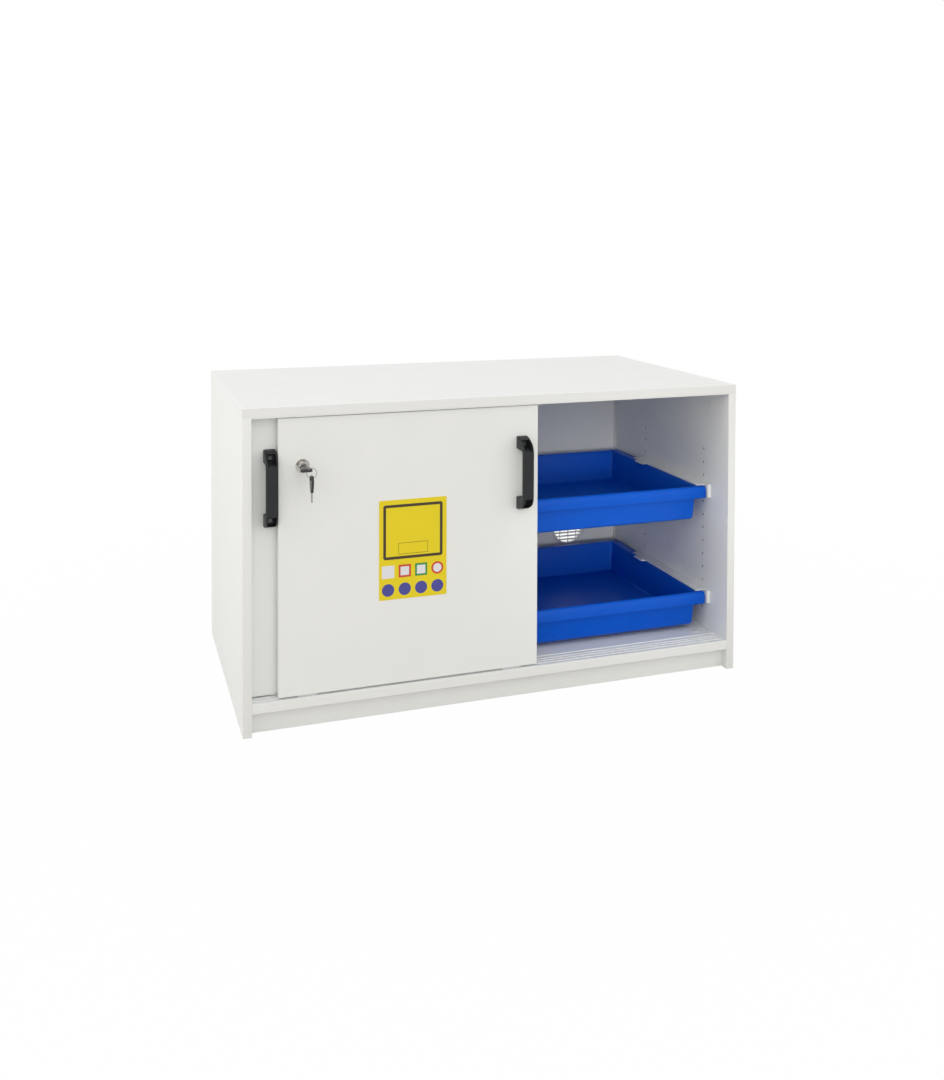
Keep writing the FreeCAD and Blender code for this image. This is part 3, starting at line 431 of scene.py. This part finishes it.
def makeHandle(name, body):
    look = handleLook
    low, high = [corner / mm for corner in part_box(name)]
    reach = high.y - low.y
    length = high.z - low.z
    flat, slope, foot = look["flat"], look["slope"], look["foot"]

    def outline(inset):
        outer = reach - inset
        inner = reach - look["grip"] + inset
        bend = look["bend"] - inset
        hollow = look["grip"] / 2 + inset
        lowHalf = [(0, inset, 0), (flat, inset, look["shoulder"]),
                   (outer, slope + inset * look["slopeShare"], bend)]
        highHalf = [(y, length - z, radius) for y, z, radius in lowHalf[::-1]]
        gap = [(0, length - foot + inset, 0), (inner, length - foot + inset, hollow),
               (inner, foot - inset, hollow), (0, foot - inset, 0)]
        return roundCorners(lowHalf + highHalf + gap)

    rings = []
    for turn in range(0, 91, 15):
        bevel = math.radians(turn)
        place = look["edge"] * (1 - math.cos(bevel))
        rings.append([(place, y, z) for y, z in outline(look["edge"] * (1 - math.sin(bevel)))])
    left = [[(low.x + x, high.y - y, low.z + z) for x, y, z in ring] for ring in rings]
    right = [[(high.x - x, high.y - y, low.z + z) for x, y, z in ring] for ring in rings]
    handle = addPiece(f"{body}Handle", skin(left + right[::-1]), "mouldedAnthraciteNylon", body,
                      [name])
    middle = (low.x + high.x) / 2
    side = look["windowWidth"] / 2
    floor = look["windowFloor"]
    skinLeft = reach - look["grip"] + look["gripSkin"]
    outside = reach + look["overcut"]
    window = roundCorners([(floor, look["windowFrom"], 2), (floor, look["windowEnd"], 2),
                           (skinLeft, foot - 1.5, 3), (outside, look["windowTo"] + 2, 0),
                           (outside, look["windowFrom"] - 3, 0)])
    tools = []
    for end, way in ((low.z, 1), (high.z, -1)):
        tools.append(skin([[(x, high.y - y, end + way * z) for y, z in window]
                           for x in (middle - side, middle + side)]))
    for z in (low.z + look["screwEdge"], high.z - look["screwEdge"]):
        tools.append(cylinder((middle, high.y - floor - 1, z), 1, look["bore"] / 2, floor + 2))
    carve(handle, tools)
    roundEdges(handle, look["windowEdge"], steps=2, angle=50)


makeHandle("front_handle", "front_door")
makeHandle("rear_handle", "rear_door")
print("handles made")

# The card on the front door: a printed plastic plate, its framed field left blank, over plain patches
cardLook = {"left": -286, "right": -137.5, "low": 249.5, "high": 460.5, "thick": 0.6, "corner": 2,
            "ink": 0.06, "field": (9, 10, 139.5, 126, 6), "label": (42, 92, 107, 116, 0.8),
            "rows": (152, 190.5), "columns": (19.5, 56, 92, 128), "patch": 27, "border": 4.2}


# A flat print, or a printed frame of a given width, in millimetres from the card's top left corner
def addPrint(name, material, box, radius, line=None):
    look = cardLook
    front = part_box("front_door")[0].y / mm - look["thick"]
    left, top, right, bottom = box
    sides = (look["left"] + left, look["high"] - bottom, look["left"] + right, look["high"] - top)

    def ring(inset, y):
        outline = boxOutline(sides[0] + inset, sides[1] + inset, sides[2] - inset, sides[3] - inset,
                             max(radius - inset, 0.2))
        return [(x, y, z) for x, z in outline]

    levels = (front, front - look["ink"])
    if line:
        mesh = skin([ring(0, levels[0]), ring(0, levels[1]), ring(line, levels[1]), ring(line, levels[0])],
                    looped=True)
    else:
        mesh = skin([ring(0, level) for level in levels])
    piece = addPiece(name, mesh, material, "front_door")
    for polygon in piece.data.polygons:
        polygon.use_smooth = False


def makeCard():
    look = cardLook
    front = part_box("front_door")[0].y / mm
    outline = boxOutline(look["left"], look["low"], look["right"], look["high"], look["corner"])
    rings = [[(x, y, z) for x, z in outline] for y in (front + 0.02, front - look["thick"])]
    card = addPiece("doorCard", skin(rings), "printedYellow", "front_door")
    for polygon in card.data.polygons:
        polygon.use_smooth = False
    *field, line = look["field"]
    addPrint("cardField", "printedUmber", field, 5, line)
    *label, line = look["label"]
    addPrint("cardLabel", "printedUmber", label, 1, line)
    half = look["patch"] / 2
    patches = [("White", "White", 0.5, None), ("Red", "White", 0.5, "Red"), ("Green", "White", 0.5, "Green"),
               ("Ring", "White", half, "Red")]
    for column, (name, fill, radius, edge) in zip(look["columns"], patches):
        row = look["rows"][0]
        box = (column - half, row - half, column + half, row + half)
        if edge:
            addPrint(f"patchEdge{name}", f"printed{edge}", box, radius, look["border"])
            inset = look["border"]
            box = (box[0] + inset, box[1] + inset, box[2] - inset, box[3] - inset)
            radius = max(radius - inset, 0.3)
        addPrint(f"patch{name}", f"printed{fill}", box, radius)
    for number, column in enumerate(look["columns"], 1):
        row = look["rows"][1]
        box = (column - half, row - half, column + half, row + half)
        addPrint(f"patchBlue{number}", "printedBlue", box, half)


makeCard()
print("card made")


# Side panels and partition: edged boards with rows of round holes, and the back panel's groove
boredLook = {"edge": 0.9, "hole": 5, "depth": 13, "first": 116, "pitch": 32, "count": 13,
             "columns": (110, 408), "groove": 8, "grooveFront": (581, 589.5)}


def makeBoredBoard(node, openSides):
    look = boredLook
    low, high = [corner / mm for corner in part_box(node)]
    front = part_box("left_side_panel")[0].y / mm
    outline = boxOutline(low.x, low.y, high.x, high.y, look["edge"], 3)
    rings = []
    for inset, level in ((look["edge"], 0), (look["edge"] * 0.3, look["edge"] * 0.3), (0, look["edge"])):
        rings.append([(min(max(x, low.x + inset), high.x - inset), min(max(y, low.y + inset), high.y - inset),
                       low.z + level) for x, y in outline])
    top = [[(x, y, low.z + high.z - z) for x, y, z in ring] for ring in rings]
    board = addPiece(node.title().replace("_", ""), skin(rings + top[::-1]), "melamineBoardX", "root",
                     [node])
    tools = []
    for side in openSides:
        face = high.x if side > 0 else low.x
        start = face - look["depth"] if side > 0 else face - 1
        for column in look["columns"]:
            for row in range(look["count"]):
                level = look["first"] + look["pitch"] * row
                tools.append(((start, front + column, level), look["depth"] + 1))
        if node.endswith("side_panel"):
            near, far = [front + place for place in look["grooveFront"]]
            inner = sorted((face - side * look["groove"], face + side))
            corners = ((inner[0], near), (inner[1], near), (inner[1], far), (inner[0], far))
            carve(board, [skin([[(x, y, z) for x, y in corners] for z in (low.z - 1, high.z + 1)])])
    holes = bmesh.new()
    for centre, length in tools:
        holes.from_mesh(cylinder(centre, 0, look["hole"] / 2, length))
    allHoles = bpy.data.meshes.new("holes")
    holes.to_mesh(allHoles)
    holes.free()
    carve(board, [allHoles])
    flatShade(board)
    board.data.materials.append(materials["rawChipboard"])
    bore = look["hole"] / 2 + 0.1
    for polygon in board.data.polygons:
        x, y, z = polygon.center / mm
        drilled = any(math.hypot(y - centre[1], z - centre[2]) < bore for centre, _ in tools)
        if drilled and low.x + 0.05 < x < high.x - 0.05:
            polygon.material_index = 1


# Flat faces stay flat where they meet an edge
def flatShade(piece, angle=32):
    for polygon in piece.data.polygons:
        polygon.use_smooth = True
    piece.data.set_sharp_from_angle(angle=math.radians(angle))


makeBoredBoard("right_side_panel", [-1])
makeBoredBoard("left_side_panel", [1])
makeBoredBoard("centre_partition", [-1, 1])
print("bored boards made")


# Turns a section of (radius, height) points round an axis through a centre; the heights go along that axis
def turned(section, centre, axis=1, steps=64):
    rings = []
    for radius, height in section:
        ring = []
        for step in range(steps):
            turn = 2 * math.pi * step / steps
            around = [radius * math.cos(turn), radius * math.sin(turn)]
            around.insert(axis, height)
            ring.append([a + b for a, b in zip(centre, around)])
        rings.append(ring)
    return rings


# Grilles: a moulded ring with a rounded flange, a spigot, and slats with four slots in each row
grilleLook = {"rim": 50, "clear": 42, "wall": 2, "flange": 2.5, "round": 1.6, "spigot": 10, "slat": 4,
              "pitch": 9.4, "rows": 4, "bar": 2.5, "barPitch": 24.5, "barBack": 0.3, "slatEdge": 0.5}


def makeGrille(side):
    look = grilleLook
    node = f"{side}_vent_grille"
    low, high = [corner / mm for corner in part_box(node)]
    centre = ((low.x + high.x) / 2, low.y + look["flange"], (low.z + high.z) / 2)
    rim = look["rim"]
    curve = look["round"]
    section = [(look["clear"], look["spigot"]), (look["clear"], 0.6 - look["flange"]),
               (look["clear"] + 0.6, -look["flange"])]
    for turn in range(0, 91, 18):
        lean = math.radians(turn)
        section.append((rim - curve + curve * math.sin(lean),
                        -look["flange"] + curve - curve * math.cos(lean)))
    section += [(rim, 0), (look["clear"] + look["wall"], 0), (look["clear"] + look["wall"], look["spigot"])]
    ring = addPiece(f"{side}GrilleRing", skin(turned(section, centre), looped=True), "mouldedWhiteAcetal",
                    "root", [node])
    flatShade(ring)
    bars = bmesh.new()
    boxes = []
    for count in range(look["rows"]):
        for way in (1, -1):
            middle = (count + 0.5) * look["pitch"] * way
            half = math.sqrt((look["clear"] + 0.5) ** 2 - (abs(middle) - look["slat"] / 2) ** 2)
            boxes.append((-half, middle - look["slat"] / 2, half, middle + look["slat"] / 2, 0))
    for count in (-1, 0, 1):
        middle = count * look["barPitch"]
        half = math.sqrt(look["clear"] ** 2 - middle ** 2)
        boxes.append((middle - look["bar"] / 2, -half, middle + look["bar"] / 2, half, look["barBack"]))
    for left, bottom, right, top, back in boxes:
        rings = []
        edge = look["slatEdge"]
        face = back - look["flange"]
        for y, inset in ((face, edge), (face + edge, 0), (back - edge, 0)):
            rings.append([(centre[0] + x, centre[1] + y, centre[2] + z)
                          for x, z in ((left + inset, bottom + inset), (right - inset, bottom + inset),
                                       (right - inset, top - inset), (left + inset, top - inset))])
        bars.from_mesh(skin(rings))
    mesh = bpy.data.meshes.new("slats")
    bars.to_mesh(mesh)
    bars.free()
    slats = addPiece(f"{side}GrilleSlats", mesh, "mouldedWhiteAcetal", "root")
    flatShade(slats)


for side in ("left", "right"):
    makeGrille(side)
print("grilles made")

# Keys: a moulded head with a rounded outline and a slot for the ring, on the metal blade
keyLook = {"half": 12, "length": 34, "taper": 20, "neck": 5, "round": 8, "thick": 5, "edge": 1.2,
           "slot": (8.5, 25, 30.5, 1.6), "panel": (6.2, 5, 19.5, 2.2), "panelDeep": 0.35}


def makeKeyHead(name, body, across, along, way):
    look = keyLook
    low, high = [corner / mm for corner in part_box(name)]
    middle = (low + high) / 2
    through = 3 - across - along
    start = high[along] if way < 0 else low[along]

    def spot(u, v, w):
        point = [0, 0, 0]
        point[across] = middle[across] + u
        point[along] = start + way * v
        point[through] = middle[through] + w
        return point

    half = look["half"]
    corners = [(-half, look["length"], look["round"]), (half, look["length"], look["round"]),
               (half, look["taper"], look["round"]), (look["neck"], 0, 1.5), (-look["neck"], 0, 1.5),
               (-half, look["taper"], look["round"])]
    outline = roundCorners(corners)
    thick = look["thick"] / 2
    head = addPiece(f"{body}Head", skin([[spot(u, v, w) for u, v in outline] for w in (-thick, thick)]),
                    "mouldedBlackHead", body, [name])
    wide, near, far, bend = look["slot"]
    slot = [[spot(u, v, w) for u, v in boxOutline(-wide, near, wide, far, bend)]
            for w in (-thick - 1, thick + 1)]
    tools = [skin(slot)]
    # One face has a sunk panel
    wide, near, far, bend = look["panel"]
    panel = boxOutline(-wide, near, wide, far, bend)
    depths = (thick - look["panelDeep"], thick + 1)
    tools.append(skin([[spot(u, v, way * w) for u, v in panel] for w in depths]))
    carve(head, tools)
    roundEdges(head, look["edge"] / 2, angle=50)


makeKeyHead("key_head", "lock_key", 0, 1, -1)
makeKeyHead("spare_key_head", "spare_key", 1, 2, 1)

# The key ring: nearly two close turns of flat wire
ringLook = {"radius": 10.2, "turns": 1.85, "pitch": 0.85, "wire": 0.42, "flat": 1.5, "start": 0.4,
            "shift": 0.06, "steps": 60}


def makeKeyRing():
    look = ringLook
    low, high = [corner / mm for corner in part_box("key_ring")]
    middle = (low + high) / 2
    rings = []
    count = int(look["steps"] * look["turns"])
    for step in range(count + 1):
        turn = 2 * math.pi * look["turns"] * step / count + look["start"]
        rise = look["pitch"] * (turn / (2 * math.pi) - look["turns"] / 2 - look["shift"])
        outward = Vector((math.cos(turn), 0, math.sin(turn)))
        ring = []
        for corner in range(8):
            angle = 2 * math.pi * (corner + 0.5) / 8
            ring.append(middle + outward * (look["radius"] + look["wire"] * look["flat"] * math.cos(angle))
                        + Vector((0, rise + look["wire"] * math.sin(angle), 0)))
        rings.append(ring)
    addPiece("splitRing", skin(rings), "nickelSteelPaintedDarkReflection", "key_ring", ["key_ring"])


makeKeyRing()
print("keys made")

# Cover caps: shallow domes with a driver's dimple, as a section of (radius, height)
capLook = {"section": [(9.98, 0), (10, 0.35), (9.5, 0.8), (8.4, 1), (2.4, 1), (2, 0.65), (0.4, 0.55)]}


def makeCaps():
    look = capLook
    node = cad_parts["cam_caps"]
    shape = bmesh.new()
    shape.from_mesh(node.data)
    bmesh.ops.remove_doubles(shape, verts=shape.verts, dist=0.01 * mm)
    islands = []
    left = set(shape.verts)
    while left:
        group = [left.pop()]
        for vertex in group:
            for edge in vertex.link_edges:
                other = edge.other_vert(vertex)
                if other in left:
                    left.remove(other)
                    group.append(other)
        islands.append([vertex.co / mm for vertex in group])
    shape.free()
    caps = bmesh.new()
    for points in islands:
        low = Vector([min(point[axis] for point in points) for axis in range(3)])
        high = Vector([max(point[axis] for point in points) for axis in range(3)])
        middle = (low + high) / 2
        axis = min(range(3), key=lambda item: high[item] - low[item])
        out = 1 if axis == 2 or middle.x < 0 else -1
        middle[axis] = low[axis] if out > 0 else high[axis]
        rings = turned([(radius, out * height) for radius, height in look["section"]], middle, axis, 40)
        caps.from_mesh(skin(rings))
    mesh = bpy.data.meshes.new("caps")
    caps.to_mesh(mesh)
    caps.free()
    piece = addPiece("coverCaps", mesh, "mouldedWhiteAcetal", "root", ["cam_caps"])
    flatShade(piece)


makeCaps()
print("caps made")


# Stage: a white floor that keeps a soft shadow, under a white sky that is brightest near the horizon
stageLook = {"floorSize": 60.0, "floorColour": "#c9c5c0", "nearLight": 0.985, "nearEdge": 0.8, "farEdge": 2.2,
             "skyColour": "#faf9f7", "horizonLight": 1.24, "zenithLight": 0.77, "zenithFrom": 0.75}


# Where the camera, gloss or glass sees the stage
def seenDirectly(tree):
    rays = addNode(tree, "ShaderNodeLightPath")
    gloss = addNode(tree, "ShaderNodeMath", {"operation": "MAXIMUM"},
                    {0: rays.outputs["Is Camera Ray"], 1: rays.outputs["Is Glossy Ray"]})
    return addNode(tree, "ShaderNodeMath", {"operation": "MAXIMUM"},
                   {0: gloss.outputs[0], 1: rays.outputs["Is Transmission Ray"]}).outputs[0]


def makeFloor():
    bpy.ops.mesh.primitive_plane_add(size=stageLook["floorSize"])
    floor = bpy.context.object
    floor.name = "floor"
    material, tree, shader, place = newMaterial("whiteFloor")
    shader.inputs["Base Color"].default_value = hexColour(stageLook["floorColour"])
    shader.inputs["Roughness"].default_value = 0.9
    shader.inputs["Specular IOR Level"].default_value = 0.0
    away = addNode(tree, "ShaderNodeVectorMath", {"operation": "LENGTH"}, {0: place})
    span = {1: stageLook["nearEdge"], 2: stageLook["farEdge"], 3: stageLook["nearLight"], 4: 1.0}
    share = addNode(tree, "ShaderNodeMapRange", span, {0: away.outputs["Value"]})
    lit = addNode(tree, "ShaderNodeMath", {"operation": "MULTIPLY"},
                  {0: share.outputs[0], 1: seenDirectly(tree)})
    glow = addNode(tree, "ShaderNodeEmission", {"Color": (1, 1, 1, 1)})
    mixed = addNode(tree, "ShaderNodeMixShader",
                    links={0: lit.outputs[0], 1: shader.outputs[0], 2: glow.outputs[0]})
    output = [node for node in tree.nodes if node.type == "OUTPUT_MATERIAL"][0]
    tree.links.new(mixed.outputs[0], output.inputs[0])
    floor.data.materials.append(material)


def makeSky():
    world = bpy.data.worlds.new("whiteSky")
    bpy.context.scene.world = world
    world.use_nodes = True
    tree = world.node_tree
    tree.nodes.clear()
    outward = addNode(tree, "ShaderNodeTexCoord").outputs["Generated"]
    height = addNode(tree, "ShaderNodeSeparateXYZ", links={0: outward})
    span = {1: 0.0, 2: stageLook["zenithFrom"], 3: stageLook["horizonLight"], 4: stageLook["zenithLight"]}
    share = addNode(tree, "ShaderNodeMapRange", span, {0: height.outputs["Z"]})
    lit = addNode(tree, "ShaderNodeBackground", {"Color": hexColour(stageLook["skyColour"])},
                  {"Strength": share.outputs[0]})
    white = addNode(tree, "ShaderNodeBackground", {"Color": (1, 1, 1, 1), "Strength": 1.0})
    mixed = addNode(tree, "ShaderNodeMixShader",
                    links={0: seenDirectly(tree), 1: lit.outputs[0], 2: white.outputs[0]})
    output = addNode(tree, "ShaderNodeOutputWorld")
    tree.links.new(mixed.outputs[0], output.inputs[0])


# Soft boxes: place, aim and size in metres, power in watts and spread in degrees
lamps = {
    "sideSoftBox": {"place": (-3.8, -0.3, 2.1), "aim": (-0.5, 0, 0.35), "size": 2.0, "power": 28,
                    "spread": 180},
    "frontSoftBox": {"place": (-0.2, -3.6, 2.6), "aim": (-0.1, 0, 0.3), "size": 3.0, "power": 26,
                     "spread": 180},
    "bayFillSoftBox": {"place": (-0.7, -3.4, 0.75), "aim": (0.33, -0.28, 0.36), "size": 0.4, "power": 0.12,
                       "spread": 10},
}


def makeLamps():
    for name, look in lamps.items():
        light = bpy.data.lights.new(name, "AREA")
        light.energy = look["power"]
        light.size = look["size"]
        light.spread = math.radians(look["spread"])
        lamp = bpy.data.objects.new(name, light)
        bpy.context.collection.objects.link(lamp)
        lamp.location = look["place"]
        aim = Vector(look["aim"]) - Vector(look["place"])
        lamp.rotation_euler = aim.to_track_quat("-Z", "Y").to_euler()


# Camera at the photograph's place: the lens and shift follow from its focal length and eye point in pixels
cameraLook = {"place": (-847.905, -2513.411, 1033.857), "turn": 0.3302, "tilt": -0.0263, "roll": 0.0032,
              "focal": 1101.96, "eyeX": 472.0, "eyeY": 257.108, "wide": 944, "high": 1080, "sensor": 36.0}


def makeCamera():
    look = cameraLook
    lens = bpy.data.cameras.new("photoCamera")
    lens.sensor_fit = "VERTICAL"
    lens.sensor_height = look["sensor"]
    lens.lens = look["sensor"] * look["focal"] / look["high"]
    lens.shift_x = (look["wide"] / 2 - look["eyeX"]) / look["high"]
    lens.shift_y = (look["eyeY"] - look["high"] / 2) / look["high"]
    lens.clip_end = 100
    camera = bpy.data.objects.new("photoCamera", lens)
    bpy.context.collection.objects.link(camera)
    forward = Vector((math.sin(look["turn"]) * math.cos(look["tilt"]),
                      math.cos(look["turn"]) * math.cos(look["tilt"]), math.sin(look["tilt"])))
    level = Vector((math.cos(look["turn"]), -math.sin(look["turn"]), 0))
    up = level.cross(forward)
    right = math.cos(look["roll"]) * level + math.sin(look["roll"]) * up
    top = math.cos(look["roll"]) * up - math.sin(look["roll"]) * level
    axes = Matrix((right, top, -forward)).transposed()
    camera.matrix_world = Matrix.Translation(Vector(look["place"]) * mm) @ axes.to_4x4()
    bpy.context.scene.camera = camera


makeFloor()
makeSky()
makeLamps()
makeCamera()
bpy.context.scene.view_settings.view_transform = "Standard"
print("stage, lamps and camera set")
